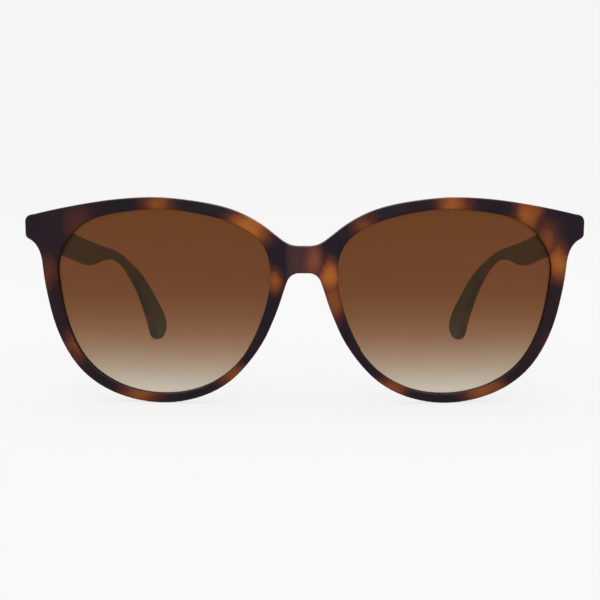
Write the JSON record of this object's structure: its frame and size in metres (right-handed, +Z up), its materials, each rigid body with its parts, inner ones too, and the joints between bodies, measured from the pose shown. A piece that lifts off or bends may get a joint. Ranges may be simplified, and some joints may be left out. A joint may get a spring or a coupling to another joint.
{
  "type": "cat eye sunglasses",
  "caption": "Cat eye sunglasses with a softly upswept tortoiseshell front, large brown gradient lenses, glued nose pads and folding temples on barrel hinges.",
  "frame": {"origin": "on the surface that the open glasses stand on, under the middle of the whole object", "axes": "front faces -Y, temples run back along +Y, +Z up, +X is the wearer's left"},
  "size_m": [0.1466, 0.1487, 0.0531],
  "materials": {
    "tortoise_front": "satin tortoiseshell, dark brown with amber patches",
    "tortoise_temples": "satin tortoiseshell, dark brown with amber patches",
    "nose_pads": "satin, in the colour of the front",
    "tinted_lens": "brown tint, dark at the top and pale at the bottom",
    "hinge_metal": "stamped and tumbled",
    "screws": "turned, slotted or countersunk"
  },
  "bodies": {
    "front_frame": {"front": "tortoise_front", "left_lens": "tinted_lens", "left_nose_pad": "nose_pads", "left_front_hinge_leaf": "hinge_metal", "left_hinge_screw": "screws", "left_front_leaf_screws": "screws", "right_lens": "tinted_lens", "right_nose_pad": "nose_pads", "right_front_hinge_leaf": "hinge_metal", "right_hinge_screw": "screws", "right_front_leaf_screws": "screws"},
    "left_arm": {"left_temple": "tortoise_temples", "left_temple_hinge_leaf": "hinge_metal", "left_temple_leaf_screws": "screws"},
    "right_arm": {"right_temple": "tortoise_temples", "right_temple_hinge_leaf": "hinge_metal", "right_temple_leaf_screws": "screws"}
  },
  "joints": [
    {"name": "left_temple_fold", "type": "hinge", "parent": "front_frame", "child": "left_arm", "pos_m": [0.0673, -0.0534, 0.0447], "axis": [0, 0, 1], "range_deg": [0, 84]},
    {"name": "right_temple_fold", "type": "hinge", "parent": "front_frame", "child": "right_arm", "pos_m": [-0.0673, -0.0534, 0.0447], "axis": [0, 0, -1], "range_deg": [0, 76]}
  ]
}
